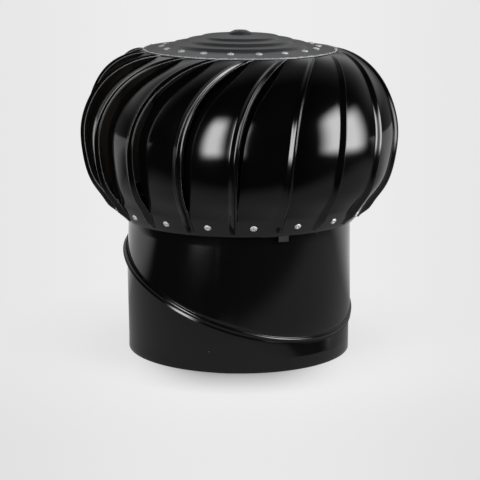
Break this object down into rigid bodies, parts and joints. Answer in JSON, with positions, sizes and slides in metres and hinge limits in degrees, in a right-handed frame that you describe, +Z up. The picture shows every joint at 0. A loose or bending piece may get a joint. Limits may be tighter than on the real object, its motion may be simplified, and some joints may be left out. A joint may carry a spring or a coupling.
{
  "type": "roof turbine ventilator",
  "caption": "Wind-driven roof turbine ventilator with a bladed round head on a swivelling throat for a 300 mm duct.",
  "frame": {"origin": "middle of the base rim, on the plane that it stands on", "axes": "+Z up the duct axis, -Y the front, +X the right"},
  "size_m": [0.4234, 0.4278, 0.4303],
  "materials": {
    "satin_black_steel": "satin black coated sheet",
    "gloss_black_steel": "gloss black enamelled sheet",
    "satin_grey_cap": "satin dark grey coated sheet",
    "black_arm_steel": "satin black coated strap",
    "aluminium_rivet": "bright",
    "zinc_steel": "zinc plated",
    "bronze": "sintered, oiled",
    "bearing_steel": "ground"
  },
  "bodies": {
    "lower_throat": {"lower_throat": "satin_black_steel"},
    "upper_throat": {"upper_throat": "satin_black_steel", "lower_brace": "zinc_steel", "upper_brace": "zinc_steel", "brace_rivets": "aluminium_rivet", "brace_spacer": "zinc_steel", "lower_washer": "zinc_steel", "upper_washer": "zinc_steel", "lower_shaft_nut": "zinc_steel", "upper_shaft_nut": "zinc_steel", "shaft": "zinc_steel", "retaining_collar": "zinc_steel", "support_collar": "zinc_steel"},
    "rotor": {"blade_01": "gloss_black_steel", "blade_02": "gloss_black_steel", "blade_03": "gloss_black_steel", "blade_04": "gloss_black_steel", "blade_05": "gloss_black_steel", "blade_06": "gloss_black_steel", "blade_07": "gloss_black_steel", "blade_08": "gloss_black_steel", "blade_09": "gloss_black_steel", "blade_10": "gloss_black_steel", "blade_11": "gloss_black_steel", "blade_12": "gloss_black_steel", "blade_13": "gloss_black_steel", "blade_14": "gloss_black_steel", "blade_15": "gloss_black_steel", "blade_16": "gloss_black_steel", "blade_17": "gloss_black_steel", "blade_18": "gloss_black_steel", "top_cap": "satin_grey_cap", "cap_knob": "satin_grey_cap", "knob_nut": "zinc_steel", "top_ring": "gloss_black_steel", "bottom_ring": "gloss_black_steel", "top_rivets": "aluminium_rivet", "bottom_rivets": "aluminium_rivet", "rotor_arm_1": "black_arm_steel", "rotor_arm_2": "black_arm_steel", "rotor_arm_3": "black_arm_steel", "arm_rivets": "aluminium_rivet", "lower_hub": "zinc_steel", "lower_bush": "bronze", "bearing_housing": "zinc_steel", "shaft_bearing": "bearing_steel"}
  },
  "joints": [
    {"name": "throat_swivel", "type": "hinge", "parent": "lower_throat", "child": "upper_throat", "pos_m": [0, 0, 0.098], "axis": [0.2888, -0.2511, 0.9239], "range_deg": [-180, 180]},
    {"name": "rotor_spin", "type": "hinge", "parent": "upper_throat", "child": "rotor", "pos_m": [0, 0, 0.2], "axis": [0, 0, 1], "continuous": true}
  ]
}
